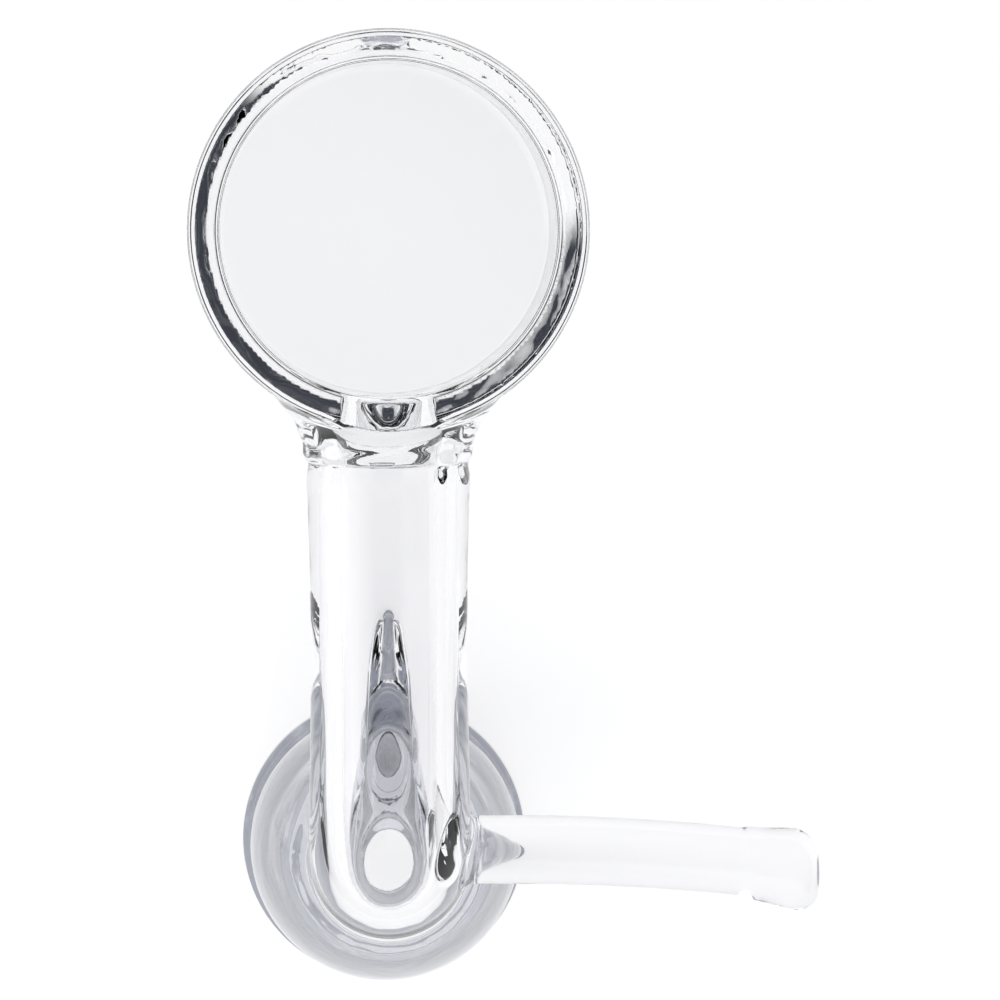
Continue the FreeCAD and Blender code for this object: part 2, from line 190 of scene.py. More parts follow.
class GlassField:
    """Distance to the glass's skin for points x, y, z in millimetres."""

    def __init__(self, blanks, melts):
        self.wall = blanks.wall / MM
        self.bore = blanks.bore / MM / 2
        self.mouth = blanks.mouth / MM / 2
        self.depth = blanks.ground_depth / MM
        self.taper = blanks.taper / 2
        self.sweep = blanks.rod_sweep / MM
        self.waist = blanks.waist / MM
        self.swell = blanks.swell / MM
        self.melt = {name: getattr(melts, name) / MM for name in MeltSizes.__annotations__}

    def path(self, x, y, z):
        """Distance to the neck's centre line: up from the socket, round the bend and along to the bucket."""
        level = np.hypot(np.hypot(x, z - NECK_Z), np.maximum(BEND_RADIUS - y, 0))
        upright = np.hypot(np.hypot(x, y), np.maximum(z - BEND_LOW, 0))
        turn = np.hypot(x, np.hypot(y - BEND_RADIUS, z - BEND_LOW) - BEND_RADIUS)
        turn = np.where((y <= BEND_RADIUS) & (z >= BEND_LOW), turn, 1e3)
        return np.minimum(np.minimum(level, upright), turn)

    def waves(self, x, y, z):
        """Slow waves of height 1, as left in glass that has been melted."""
        return (
            np.sin(1.9 * x + 0.7 * y + 0.4) * np.sin(1.3 * y - 1.7 * z + 1.1)
            + 0.6 * np.sin(3.1 * z + 1.2 * x - 0.5) * np.sin(2.3 * x - 1.1 * y + 2.0)
        ) / 1.6

    def outside(self, x, y, z):
        melt = self.melt
        from_bucket = np.hypot(x, y - BUCKET_Y)
        bucket = blend_meet(from_bucket - BUCKET_RADIUS, z - RIM, melt["rim"])
        bucket = blend_meet(bucket, BASE_LOW - z, 0.3)
        slope = math.radians(BEVEL_SLOPE)
        past_heel = from_bucket - BUCKET_RADIUS + melt["heel"]
        slant = past_heel * math.sin(slope) + (BASE_LOW - z) * math.cos(slope)
        bucket = blend_meet(bucket, slant, 0.3)

        path = self.path(x, y, z)
        radius = NECK_RADIUS - self.waist + self.swell * (ease(11, 2, y) + ease(18, 24.5, y))
        around = np.arctan2(z - NECK_Z, x)
        ring = 0.14 * bell(y, NECK_END + 1.1 + 0.2 * np.sin(2 * around), 0.4)
        ring -= 0.15 * (0.7 + 0.3 * np.sin(3 * around)) * bell(y, NECK_END + 0.35, 0.3)
        ring += 0.06 * bell(y, NECK_END - 0.9, 0.6)
        neck = path - radius - ring * ease(20, 22, y)
        neck = np.maximum(neck, y - BUCKET_Y + 5)
        neck = np.maximum(neck, SOCKET_TOP - 5 - z)
        glass = blend_join(bucket, neck, melt["flare"])

        out = np.hypot(x, y)
        across, up = SHOULDER_WAY
        cone = (out - SOCKET_RADIUS) * across + (z - self.depth + SHOULDER_LEAD) * up
        socket = blend_meet(out - SOCKET_RADIUS, cone, melt["shoulder"])
        socket = blend_meet(socket, z - SOCKET_TOP + 0.4, 1.2)
        socket = blend_meet(socket, -z, 0.5)
        lip = blend_meet(blend_meet(out - LIP_RADIUS, -z, melt["lip"]), z - LIP_HEIGHT, melt["lip_top"])
        socket = blend_join(socket, lip, 0.35)
        glass = blend_join(glass, cone_between(x, y, z, *WEB), 0.6)
        glass = blend_join(glass, blend_join(socket, cone_between(x, y, z, *APRON), 1.8), 1.5)

        drop = self.sweep - np.sqrt(np.maximum(self.sweep**2 - np.maximum(x - ROD_START, 0) ** 2, 1))
        middle = ROD_Y - drop
        rod = np.hypot(y - middle, z - ROD_Z) - ROD_RADIUS
        rod = np.maximum(np.maximum(rod, x - HANDLE_END + 1.5), 3.4 - x)
        glass = blend_join(glass, rod, melt["handle_root"])
        swollen = ROD_RADIUS + KNOB_SWELL * ease(KNOB_START, HANDLE_END - 1.2, x)
        barrel = np.hypot(y - middle + 0.1, z - ROD_Z) - swollen
        knob = blend_meet(blend_meet(barrel, x - HANDLE_END, 1.6), KNOB_START - x, 0.4)
        glass = blend_join(glass, knob, 0.5)
        crease = np.hypot(x - KNOB_START + 0.1, (y - middle + ROD_RADIUS + 0.25) * 0.6) - 0.42
        return -blend_join(-glass, crease, 0.25)

    def bubbles(self, x, y, z):
        """Air caught in the melted zones."""
        air = np.full_like(x, FAR)
        for px, py, pz, rx, ry, rz in BUBBLES:
            squashed = np.sqrt(((x - px) / rx) ** 2 + ((y - py) / ry) ** 2 + ((z - pz) / rz) ** 2)
            air = np.minimum(air, (squashed - 1) * min(rx, ry, rz))
        return air

    def hollow(self, x, y, z):
        from_bucket = np.hypot(x, y - BUCKET_Y)
        mark_x, mark_y, mark_radius = FLOOR_MARK
        mark = 0.03 * bell(np.hypot(x - mark_x, y - BUCKET_Y - mark_y), mark_radius, 0.35)
        cup = blend_meet(from_bucket - (BUCKET_RADIUS - self.wall), FLOOR - mark - z, self.melt["floor"])
        bore = self.path(x, y, z) - self.bore
        bore += BORE_WAIST * bell(z, SOCKET_TOP + 0.8, 1.8) * ease(7, 4, y)
        bore = np.maximum(np.maximum(bore, y - BUCKET_Y + 6), self.depth - z)
        bore = bore - 0.05 * bell(y, NECK_END + 0.5, 0.7)
        air = blend_join(cup, bore, 0.45)
        out = np.hypot(x, y)
        ground = out - (self.mouth - self.taper * z)
        top = self.mouth - self.taper * self.depth
        roof = (out - top) * ROOF_WAY[0] + (z - self.depth) * ROOF_WAY[1]
        return blend_join(air, blend_meet(ground, roof, 2.2), 0.8)

    def limits(self, x, y, z):
        """Distance past the planes that the object reaches to, so that no wave swells over them."""
        low, high = BOX_LOW, BOX_HIGH
        reach = np.maximum(np.maximum(low[0] - x, x - high[0]), np.maximum(low[1] - y, y - high[1]))
        return np.maximum(reach, np.maximum(low[2] - z, z - high[2]))

    def __call__(self, points):
        """Field at an (n, 3) array of points."""
        values = np.empty(len(points))
        for start in range(0, len(points), 40000):
            x, y, z = points[start : start + 40000].T
            melted = 0.9 * bell(y, NECK_END + 1.6, 1.8) * ease(22, 27, z) * ease(39, 34, z)
            melted = melted + 0.35 * bell(z, SOCKET_TOP, 2.5)
            melted = melted * ease(9.5, 8.0, np.abs(x)) + 0.5 * bell(x, HANDLE_END - 1.0, 1.6) + 0.05
            wave = self.melt["waves"] * melted * self.waves(x, y, z)
            inner = 0.5 * self.melt["waves"] * melted * self.waves(x + 5, y - 3, z + 2)
            skin = np.maximum(self.outside(x, y, z) + wave, self.limits(x, y, z))
            solid = blend_meet(skin, -(self.hollow(x, y, z) + inner), self.melt["edge"])
            values[start : start + 40000] = np.maximum(solid, -self.bubbles(x, y, z))
        return values

    def slope(self, points, step=0.004):
        """Value and gradient, from four samples round each point."""
        corners = np.array([[1, -1, -1], [-1, -1, 1], [-1, 1, -1], [1, 1, 1]], float)
        samples = [self(points + step * corner) for corner in corners]
        gradient = sum(s[:, None] * corner for s, corner in zip(samples, corners)) / (4 * step)
        return sum(samples) / 4, gradient

    def settle(self, points, rounds=2, most=0.2):
        """Moves points onto the skin."""
        for _ in range(rounds):
            value, gradient = self.slope(points)
            move = value / np.maximum((gradient**2).sum(1), 0.05)
            points = points - np.clip(move, -most, most)[:, None] * gradient
        return points

    def normals(self, points):
        gradient = self.slope(points)[1]
        return gradient / np.maximum(np.linalg.norm(gradient, axis=1, keepdims=True), 1e-9)


# ---------------------------------------------------------------------------------------------------------
# The skin: one closed triangle mesh of the field, finer where it bends, cut at the seams between pieces
# ---------------------------------------------------------------------------------------------------------

BUBBLES = (
    # x, y, z and the three radii, in millimetres
    (4.12, 25.0, 33.7, 0.62, 0.72, 0.8),
    (-3.95, 25.5, 34.0, 0.3, 0.34, 0.3),
    (-0.4, 25.9, 37.0, 1.1, 0.22, 0.3),
    (3.3, 28.2, 36.0, 0.4, 0.3, 0.4),
)

REACH = [
    # boxes that hold the glass: low x, y, z and high x, y, z
    ((-BUCKET_RADIUS, NECK_END - 1, BASE_LOW), (BUCKET_RADIUS, BUCKET_Y + BUCKET_RADIUS, RIM)),
    ((-8.0, -7.0, 20.0), (8.0, NECK_END + 2, NECK_TOP)),
    ((-LIP_RADIUS, -LIP_RADIUS, 0.0), (LIP_RADIUS, LIP_RADIUS, SOCKET_TOP)),
    ((4.0, -6.0, ROD_LOW - 1.5), (HANDLE_END, 5.0, ROD_HIGH + 1.5)),
]


def draw_skin(field, pitch):
    """Vertices and quads of the field's zero level, by surface nets on a grid of that pitch."""
    boxes = np.array(REACH)
    low = boxes[:, 0].min(0) - 3.37 * pitch
    count = np.ceil((boxes[:, 1].max(0) + 3 * pitch - low) / pitch).astype(int)
    axes = [low[i] + pitch * np.arange(count[i]) for i in range(3)]
    wanted = np.zeros(count, bool)
    for near, far in REACH:
        part = [slice(*np.searchsorted(axes[i], (near[i] - 2 * pitch, far[i] + 2 * pitch))) for i in range(3)]
        wanted[tuple(part)] = True
    values = np.full(count, FAR)
    at = np.argwhere(wanted)
    values[wanted] = field(low + pitch * at)
    inside = values < 0
    mixed = np.zeros(count - 1, np.int8)
    shifts = [(i, j, k) for i in (0, 1) for j in (0, 1) for k in (0, 1)]
    size = count - 1
    for i, j, k in shifts:
        mixed += inside[i : i + size[0], j : j + size[1], k : k + size[2]]
    cells = np.argwhere((mixed > 0) & (mixed < 8))
    index = np.full(size, -1)
    index[tuple(cells.T)] = np.arange(len(cells))
    corner = np.array([values[cells[:, 0] + i, cells[:, 1] + j, cells[:, 2] + k] for i, j, k in shifts])
    total, hits = np.zeros((len(cells), 3)), np.zeros(len(cells))
    for a, p in enumerate(shifts):
        for b, q in enumerate(shifts):
            if a < b and sum(abs(p[n] - q[n]) for n in range(3)) == 1:
                cross = (corner[a] < 0) != (corner[b] < 0)
                share = np.where(cross, corner[a] / np.where(cross, corner[a] - corner[b], 1), 0)
                total += cross[:, None] * (np.array(p) + share[:, None] * (np.array(q) - np.array(p)))
                hits += cross
    points = low + pitch * (cells + total / hits[:, None])
    quads = []
    for axis in range(3):
        u, v = (axis + 1) % 3, (axis + 2) % 3
        one = [slice(1, -1)] * 3
        one[axis] = slice(0, -1)
        two = list(one)
        two[axis] = slice(1, None)
        first, second = inside[tuple(one)], inside[tuple(two)]
        for flip in (False, True):
            edges = np.argwhere(first & ~second) if not flip else np.argwhere(~first & second)
            edges[:, [i for i in range(3) if i != axis]] += 1
            ring = []
            for du, dv in ((0, 0), (1, 0), (1, 1), (0, 1)):
                cell = edges.copy()
                cell[:, u] -= 1 - du
                cell[:, v] -= 1 - dv
                ring.append(index[tuple(cell.T)])
            quads.append(np.array(ring if not flip else ring[::-1]).T)
    return points, np.concatenate(quads)


def relax(field, points, quads, rounds=2):
    """Evens out the vertices along the skin."""
    for _ in range(rounds):
        total, count = np.zeros_like(points), np.zeros(len(points))
        for i in range(4):
            a, b = quads[:, i], quads[:, (i + 1) % 4]
            for p, q in ((a, b), (b, a)):
                for axis in range(3):
                    total[:, axis] += np.bincount(p, points[q, axis], len(points))
                count += np.bincount(p, minlength=len(points))
        points = field.settle(points + 0.5 * (total / count[:, None] - points), rounds=1)
    return points


def to_triangles(points, quads):
    """Splits each quad along its shorter diagonal."""
    first = np.linalg.norm(points[quads[:, 0]] - points[quads[:, 2]], axis=1)
    second = np.linalg.norm(points[quads[:, 1]] - points[quads[:, 3]], axis=1)
    a, b, c, d = quads.T
    across = np.where((first <= second)[:, None], np.array([a, b, c]).T, np.array([a, b, d]).T)
    rest = np.where((first <= second)[:, None], np.array([a, c, d]).T, np.array([b, c, d]).T)
    return np.concatenate([across, rest])


def half_edges(triangles):
    return np.concatenate([triangles[:, [0, 1]], triangles[:, [1, 2]], triangles[:, [2, 0]]])


def split_edges(points, triangles, marked, place):
    """Splits triangles at marked edges. marked(a, b) says which edges; place(a, b) gives the new points."""
    pairs = np.sort(half_edges(triangles), axis=1)
    keys, back = np.unique(pairs[:, 0].astype(np.int64) * len(points) + pairs[:, 1], return_inverse=True)
    a, b = keys // len(points), keys % len(points)
    chosen = marked(a, b)
    new = np.full(len(keys), -1)
    new[chosen] = len(points) + np.arange(chosen.sum())
    points = np.concatenate([points, place(a[chosen], b[chosen])])
    middle = new[back].reshape(3, -1).T
    code = (middle >= 0) @ np.array([1, 2, 4])
    out = [triangles[code == 0]]
    for turn in range(3):
        order = [(turn + i) % 3 for i in range(3)]
        t, m = triangles[:, order], middle[:, order]
        one = code == (1 << turn)
        a, b, c, n = t[one, 0], t[one, 1], t[one, 2], m[one, 0]
        out += [np.array([a, n, c]).T, np.array([n, b, c]).T]
        two = code == ((1 << order[0]) | (1 << order[1]))
        a, b, c, n, k = t[two, 0], t[two, 1], t[two, 2], m[two, 0], m[two, 1]
        out += [np.array([n, b, k]).T, np.array([a, n, k]).T, np.array([a, k, c]).T]
    full = code == 7
    a, b, c = triangles[full].T
    n, k, j = middle[full].T
    out += [np.array(t).T for t in ((a, n, j), (n, b, k), (j, k, c), (n, k, j))]
    return points, np.concatenate(out)


def refine(field, points, triangles, rounds=2, bend=0.3, shortest=0.1):
    """Splits edges that are long for how tightly the skin bends there: over bend radians, or twice that."""
    for _ in range(rounds):
        normal = field.normals(points)

        def marked(a, b):
            reach = np.linalg.norm(points[a] - points[b], axis=1)
            bent = np.linalg.norm(normal[a] - normal[b], axis=1) / reach
            tight = np.zeros(len(points))
            np.maximum.at(tight, a, bent)
            np.maximum.at(tight, b, bent)
            return reach > np.maximum(shortest, 2 * bend / np.maximum(tight[a] + tight[b], 1e-6))

        start = len(points)
        points, triangles = split_edges(points, triangles, marked, lambda a, b: (points[a] + points[b]) / 2)
        points[start:] = field.settle(points[start:])
    return points, triangles


class Seam:
    """A cut between two pieces: a level function, the zone where it cuts, and the axis its loops go round."""

    def __init__(self, name, level, zone, centre, axis):
        self.name, self.level, self.zone = name, level, zone
        self.centre, self.axis = np.array(centre, float), axis

    def angle(self, points):
        u, v = [i for i in range(3) if i != self.axis]
        return np.arctan2(points[:, v] - self.centre[v], points[:, u] - self.centre[u])


def plane(name, axis, place, zone, centre):
    return Seam(name, lambda p: p[:, axis] - place, zone, centre, axis)


LIP_SEAM, SHOULDER_SEAM, RING_SEAM = LIP_HEIGHT + 0.4, SOCKET_TOP - 1.4, SOCKET_TOP + 0.8
WELD_SEAM, FLARE_SEAM, FLOOR_SEAM = NECK_END - 1.3, 6.4, FLOOR + 0.8
ROOT_SEAM, ROD_SEAM, KNOB_SEAM = 6.3, ROD_START + 1.1, KNOB_START - 1.2


def near_socket(p):
    return p[:, 1] < 15


def near_handle(p):
    return (p[:, 1] < 12) & (p[:, 2] > RING_SEAM)


SEAMS = [
    plane("lip", 2, LIP_SEAM, near_socket, (0, 0, 0)),
    plane("shoulder", 2, SHOULDER_SEAM, near_socket, (0, 0, 0)),
    plane("ring", 2, RING_SEAM, near_socket, (0, 0.5, 0)),
    plane("weld", 1, WELD_SEAM, lambda p: p[:, 2] > RING_SEAM, (0, 0, NECK_Z)),
    Seam("flare", lambda p: np.hypot(p[:, 0], p[:, 2] - NECK_Z) - FLARE_SEAM,
         lambda p: (p[:, 1] > WELD_SEAM) & (p[:, 1] < BUCKET_Y - 8), (0, 0, NECK_Z), 1),
    plane("floor", 2, FLOOR_SEAM, lambda p: p[:, 1] > WELD_SEAM, (0, BUCKET_Y, 0)),
    plane("root", 0, ROOT_SEAM, near_handle, (0, ROD_Y, ROD_Z)),
    plane("rod", 0, ROD_SEAM, near_handle, (0, ROD_Y, ROD_Z)),
    plane("knob", 0, KNOB_SEAM, near_handle, (0, ROD_Y - 0.6, ROD_Z)),
]

PIECES = (
    "bucket_wall", "bucket_base", "neck_weld", "neck_tube", "socket_weld",
    "socket_joint", "socket_lip", "handle_weld", "handle_rod", "handle_knob",
)


def piece_of(points):
    """Number in PIECES of the piece that each point belongs to."""
    x, y, z = points.T
    bucket = np.where(z > FLOOR_SEAM, 0, 1)
    in_flare = (np.hypot(x, z - NECK_Z) < FLARE_SEAM) & (y < BUCKET_Y - 8)
    far = np.where(in_flare, 2, bucket)
    near = np.where(z > RING_SEAM, 3, np.where(z > SHOULDER_SEAM, 4, np.where(z > LIP_SEAM, 5, 6)))
    handle = np.where(x > KNOB_SEAM, 9, np.where(x > ROD_SEAM, 8, 7))
    near = np.where((z > RING_SEAM) & (x > ROOT_SEAM), handle, near)
    return np.where(y > WELD_SEAM, far, near)


def cut_seams(field, points, triangles, pitch):
    """Adds vertices along each seam. Returns points, triangles and, for each seam, which points lie on it."""
    on = []
    for seam in SEAMS:
        level = np.where(seam.zone(points), seam.level(points), FAR)
        close = np.abs(level) < 0.2 * pitch
        for _ in range(3):
            moved = points[close]
            step = 1e-4
            slope = np.array([
                (seam.level(moved + step * np.eye(3)[i]) - seam.level(moved)) / step for i in range(3)
            ]).T
            points[close] = moved - seam.level(moved)[:, None] * slope
        level = np.where(close, 0.0, np.where(seam.zone(points), seam.level(points), FAR))
        sign = np.sign(level)

        def marked(a, b):
            return (sign[a] * sign[b] < 0) & (np.abs(level[a]) < 3 * pitch) & (np.abs(level[b]) < 3 * pitch)

        def place(a, b):
            share = (level[a] / (level[a] - level[b]))[:, None]
            return points[a] * (1 - share) + points[b] * share

        start = len(points)
        points, triangles = split_edges(points, triangles, marked, place)
        here = np.zeros(len(points), bool)
        here[:start] = close
        here[start:] = True
        on = [np.concatenate([old, np.zeros(len(points) - len(old), bool)]) for old in on] + [here]
    return points, triangles, on


def loops_of(triangles):
    """Closed loops of the vertices round a piece's open edges, each in the order the triangles run."""
    half = half_edges(triangles).astype(np.int64)
    big = half.max() + 1
    forward, backward = half[:, 0] * big + half[:, 1], half[:, 1] * big + half[:, 0]
    after = dict(half[~np.isin(forward, backward)].tolist())
    loops = []
    while after:
        start, at = next(iter(after.items()))
        del after[start]
        loop = [start]
        while at != start:
            loop.append(at)
            at = after.pop(at)
        loops.append(np.array(loop))
    return loops


def close_ring(seam, points, loops):
    """Triangles that close one or two loops of a seam, facing out of the piece."""
    faces = []
    if len(loops) == 1:
        middle = points[loops[0]].mean(0)
        hub = len(points)
        for a, b in zip(loops[0], np.roll(loops[0], -1)):
            faces.append((b, a, hub))
        return np.array(faces), middle[None]
    wide, narrow = sorted(loops, key=lambda loop: -np.ptp(points[loop], axis=0).sum())
    turned = []
    for loop in (wide, narrow):
        angle = np.unwrap(seam.angle(points[loop]))
        turned.append(angle[-1] > angle[0])
    if turned[0] == turned[1]:
        raise RuntimeError(f"the loops of seam {seam.name} run the same way")
    narrow = narrow[::-1]
    start = seam.angle(points[wide[:1]])[0]
    offset = np.angle(np.exp(1j * (seam.angle(points[narrow]) - start)))
    narrow = np.roll(narrow, -np.argmin(np.abs(offset)))
    outer, inner = np.append(wide, wide[0]), np.append(narrow, narrow[0])
    way = 1 if turned[0] else -1
    angles = []
    for loop in (outer, inner):
        angle = way * np.unwrap(seam.angle(points[loop]))
        angles.append(angle)
    angles[1] += 2 * math.pi * round((angles[0][0] - angles[1][0]) / (2 * math.pi))
    i = j = 0
    while i < len(outer) - 1 or j < len(inner) - 1:
        step_outer = j == len(inner) - 1 or (i < len(outer) - 1 and angles[0][i + 1] <= angles[1][j + 1])
        if step_outer:
            faces.append((outer[i + 1], outer[i], inner[j]))
            i += 1
        else:
            faces.append((outer[i], inner[j], inner[j + 1]))
            j += 1
    return np.array(faces), np.empty((0, 3))


SKIN, GROUND, JOIN = 0, 1, 2
SKIN_CACHE = {}


def glass_skin():
    """The whole skin, made once: points, normals, triangles with their pieces, and each seam's points."""
    if SKIN_CACHE:
        return SKIN_CACHE
    scene = bpy.context.scene
    field = GlassField(scene.quartz_blanks, scene.quartz_melts)
    pitch = scene.quartz_melts.grid / MM
    points, quads = draw_skin(field, pitch)
    points = field.settle(points, rounds=3)
    points = relax(field, points, quads)
    triangles = to_triangles(points, quads)
    points, triangles = refine(field, points, triangles)
    points, triangles, on = cut_seams(field, points, triangles, pitch)
    SKIN_CACHE.update(
        field=field, points=points, normals=field.normals(points), triangles=triangles, on=on,
        owner=piece_of(points[triangles].mean(1)),
    )
    return SKIN_CACHE


def piece_mesh(name):
    """The mesh of one piece: its share of the skin, closed at its seams, with the skin's own normals."""
    skin = glass_skin()
    triangles = skin["triangles"][skin["owner"] == PIECES.index(name)]
    points = skin["points"]
    centre = points[triangles].mean(1)
    caps, hubs = [], []
    loops = loops_of(triangles)
    for seam, on in zip(SEAMS, skin["on"]):
        mine = [loop for loop in loops if on[loop].mean() > 0.99]
        if mine:
            faces, middle = close_ring(seam, points, mine)
            faces = np.where(faces >= len(points), faces + sum(map(len, hubs)), faces)
            caps.append(faces)
            hubs.append(middle)
            loops = [loop for loop in loops if not any(loop is m for m in mine)]
    if loops:
        raise RuntimeError(f"{name} has {len(loops)} open loops that lie on no seam")
    points = np.concatenate([points] + hubs)
    faces = np.concatenate([triangles] + caps)
    used, faces = np.unique(faces, return_inverse=True)
    faces = faces.reshape(-1, 3)
    mesh = bpy.data.meshes.new(name)
    mesh.from_pydata((points[used] * MM).tolist(), [], faces.tolist())
    kind = np.full(len(faces), SKIN, np.int32)
    kind[len(triangles):] = JOIN
    out = np.hypot(centre[:, 0], centre[:, 1])
    field = skin["field"]
    ground = (centre[:, 1] < 15) & (centre[:, 2] < field.depth + 0.3) & (centre[:, 2] > 0.25)
    ground &= out < field.mouth - field.taper * centre[:, 2] + 0.12
    kind[: len(triangles)][ground] = GROUND
    mesh.polygons.foreach_set("material_index", kind)
    mesh.polygons.foreach_set("use_smooth", np.ones(len(faces), bool))
    normals = np.concatenate([skin["normals"], np.zeros((len(points) - len(skin["points"]), 3))])[used]
    corner_normals = normals[faces]
    flat = points[used][faces]
    flat = np.cross(flat[:, 1] - flat[:, 0], flat[:, 2] - flat[:, 0])
    flat /= np.maximum(np.linalg.norm(flat, axis=1, keepdims=True), 1e-12)
    corner_normals[len(triangles):] = flat[len(triangles):, None]
    mesh.normals_split_custom_set(corner_normals.reshape(-1, 3).tolist())
    return mesh


# ---------------------------------------------------------------------------------------------------------
# Finishes
# ---------------------------------------------------------------------------------------------------------


class FinishValues(bpy.types.PropertyGroup):
    """Colours and strengths of the glass's finishes; the ground and joint tints hold painted shade."""

    clear_tint: bpy.props.FloatVectorProperty(
        name="Clear tint", description="Colour of light that comes through drawn quartz", subtype="COLOR",
        size=4, default=(0.99, 0.989, 0.998, 1.0), min=0.0, max=1.0,
    )
    haze_tint: bpy.props.FloatVectorProperty(
        name="Haze tint", description="Colour of the thin smears left by the flame and by handling",
        subtype="COLOR", size=4, default=(0.93, 0.94, 0.955, 1.0), min=0.0, max=1.0,
    )
    # The ground tint is a dark grey far below clear quartz. It is painted shade: the grey that the frosted
    # bore shows under the dim light above it is put into its colour.
    frost_and_shade_tint: bpy.props.FloatVectorProperty(
        name="Ground tint and shade", description="Colour of the frosted bore", subtype="COLOR", size=4,
        default=(0.42, 0.435, 0.485, 1.0), min=0.0, max=1.0,
    )
    base_tint: bpy.props.FloatVectorProperty(
        name="Base tint", description="Colour of light that comes through the bucket's used base",
        subtype="COLOR", size=4, default=(0.93, 0.933, 0.94, 1.0), min=0.0, max=1.0,
    )
    # The joint tint is a dark grey far below clear quartz. It is painted shade: the grey that the socket's
    # dull skin shows under dim light is put into its colour.
    joint_shade_tint: bpy.props.FloatVectorProperty(
        name="Joint shade tint", description="Colour of light that comes through the socket's dulled skin",
        subtype="COLOR", size=4, default=(0.42, 0.435, 0.49, 1.0), min=0.0, max=1.0,
    )
    scratch_tint: bpy.props.FloatVectorProperty(
        name="Scratch tint", description="Colour of the coarser grinding marks", subtype="COLOR", size=4,
        default=(1.0, 1.0, 1.0, 1.0), min=0.0, max=1.0,
    )
    ground_roughness: bpy.props.FloatProperty(
        name="Ground roughness", description="Roughness of the frosted bore", default=0.5, min=0.0, max=1.0,
        subtype="FACTOR",
    )
    refraction: bpy.props.FloatProperty(
        name="Refractive index", description="Refractive index of fused quartz", default=1.458,
        min=1.0, max=2.0,
    )


def shader_group(name, inputs, outputs):
    """An empty node group with named sockets; inputs are (name, default) and outputs are (name, kind)."""
    tree = bpy.data.node_groups.new(name, "ShaderNodeTree")
    for label, default in inputs:
        kind = "NodeSocketFloat" if isinstance(default, float) else "NodeSocketVector"
        if not isinstance(default, float) and len(default) == 4:
            kind = "NodeSocketColor"
        tree.interface.new_socket(label, in_out="INPUT", socket_type=kind).default_value = default
    for label, kind in outputs:
        tree.interface.new_socket(label, in_out="OUTPUT", socket_type=kind)
    return tree, tree.nodes.new("NodeGroupInput"), tree.nodes.new("NodeGroupOutput")


def math_node(tree, operation, first, second):
    """A math node; each operand is a number or a socket."""
    node = tree.nodes.new("ShaderNodeMath")
    node.operation = operation
    for slot, operand in enumerate((first, second)):
        if isinstance(operand, (int, float)):
            node.inputs[slot].default_value = operand
        else:
            tree.links.new(operand, node.inputs[slot])
    return node.outputs[0]


def noise_node(tree, vector, scale, detail=2.0, roughness=0.5):
    node = tree.nodes.new("ShaderNodeTexNoise")
    node.inputs["Scale"].default_value = scale
    node.inputs["Detail"].default_value = detail
    node.inputs["Roughness"].default_value = roughness
    tree.links.new(vector, node.inputs["Vector"])
    return node.outputs["Fac"]


def stretched(tree, vector, factors):
    node = tree.nodes.new("ShaderNodeVectorMath")
    node.operation = "MULTIPLY"
    tree.links.new(vector, node.inputs[0])
    if isinstance(factors, tuple):
        node.inputs[1].default_value = factors
    else:
        tree.links.new(factors, node.inputs[1])
    return node.outputs[0]


def ramp_node(tree, value, low, high):
    """Maps low to 0 and high to 1, smoothly."""
    node = tree.nodes.new("ShaderNodeMapRange")
    node.interpolation_type = "SMOOTHSTEP"
    node.inputs["From Min"].default_value = low
    node.inputs["From Max"].default_value = high
    tree.links.new(value, node.inputs["Value"])
    return node.outputs["Result"]


def mix_node(tree, mask, first, second):
    node = tree.nodes.new("ShaderNodeMix")
    node.data_type = "RGBA"
    sockets = [s for s in node.inputs if s.enabled]
    for socket, value in zip(sockets, (mask, first, second)):
        if hasattr(value, "is_output"):
            tree.links.new(value, socket)
        else:
            socket.default_value = value
    return [s for s in node.outputs if s.enabled][0]


def place_of(tree):
    """Socket with the place on the piece, in metres."""
    return tree.nodes.new("ShaderNodeTexCoord").outputs["Object"]


def striae_group():
    """Fine lines along a drawn tube or rod, with a slow unevenness between them."""
    found = bpy.data.node_groups.get("drawn striae")
    if found:
        return found
    tree, given, out = shader_group(
        "drawn striae", [("Across", (1.0, 0.05, 1.0)), ("Pitch", 900.0)], [("Height", "NodeSocketFloat")]
    )
    where = stretched(tree, place_of(tree), given.outputs["Across"])
    scaled = tree.nodes.new("ShaderNodeVectorMath")
    scaled.operation = "SCALE"
    tree.links.new(where, scaled.inputs[0])
    tree.links.new(given.outputs["Pitch"], scaled.inputs["Scale"])
    fine = noise_node(tree, scaled.outputs[0], 1.0, 3.0)
    broad = noise_node(tree, scaled.outputs[0], 0.22, 1.0)
    total = math_node(tree, "ADD", math_node(tree, "MULTIPLY", fine, 0.35), broad)
    tree.links.new(total, out.inputs["Height"])
    return tree


def flame_group():
    """Slow swirls that the flame leaves in the skin."""
    found = bpy.data.node_groups.get("flame swirls")
    if found:
        return found
    tree, given, out = shader_group("flame swirls", [("Scale", 260.0)], [("Height", "NodeSocketFloat")])
    where = place_of(tree)
    bend = tree.nodes.new("ShaderNodeTexNoise")
    bend.inputs["Scale"].default_value = 180.0
    tree.links.new(where, bend.inputs["Vector"])
    shift = stretched(tree, bend.outputs["Color"], (0.004, 0.004, 0.004))
    warped = tree.nodes.new("ShaderNodeVectorMath")
    tree.links.new(where, warped.inputs[0])
    tree.links.new(shift, warped.inputs[1])
    swirl = tree.nodes.new("ShaderNodeTexNoise")
    swirl.inputs["Detail"].default_value = 1.5
    tree.links.new(given.outputs["Scale"], swirl.inputs["Scale"])
    tree.links.new(warped.outputs[0], swirl.inputs["Vector"])
    tree.links.new(swirl.outputs["Fac"], out.inputs["Height"])
    return tree


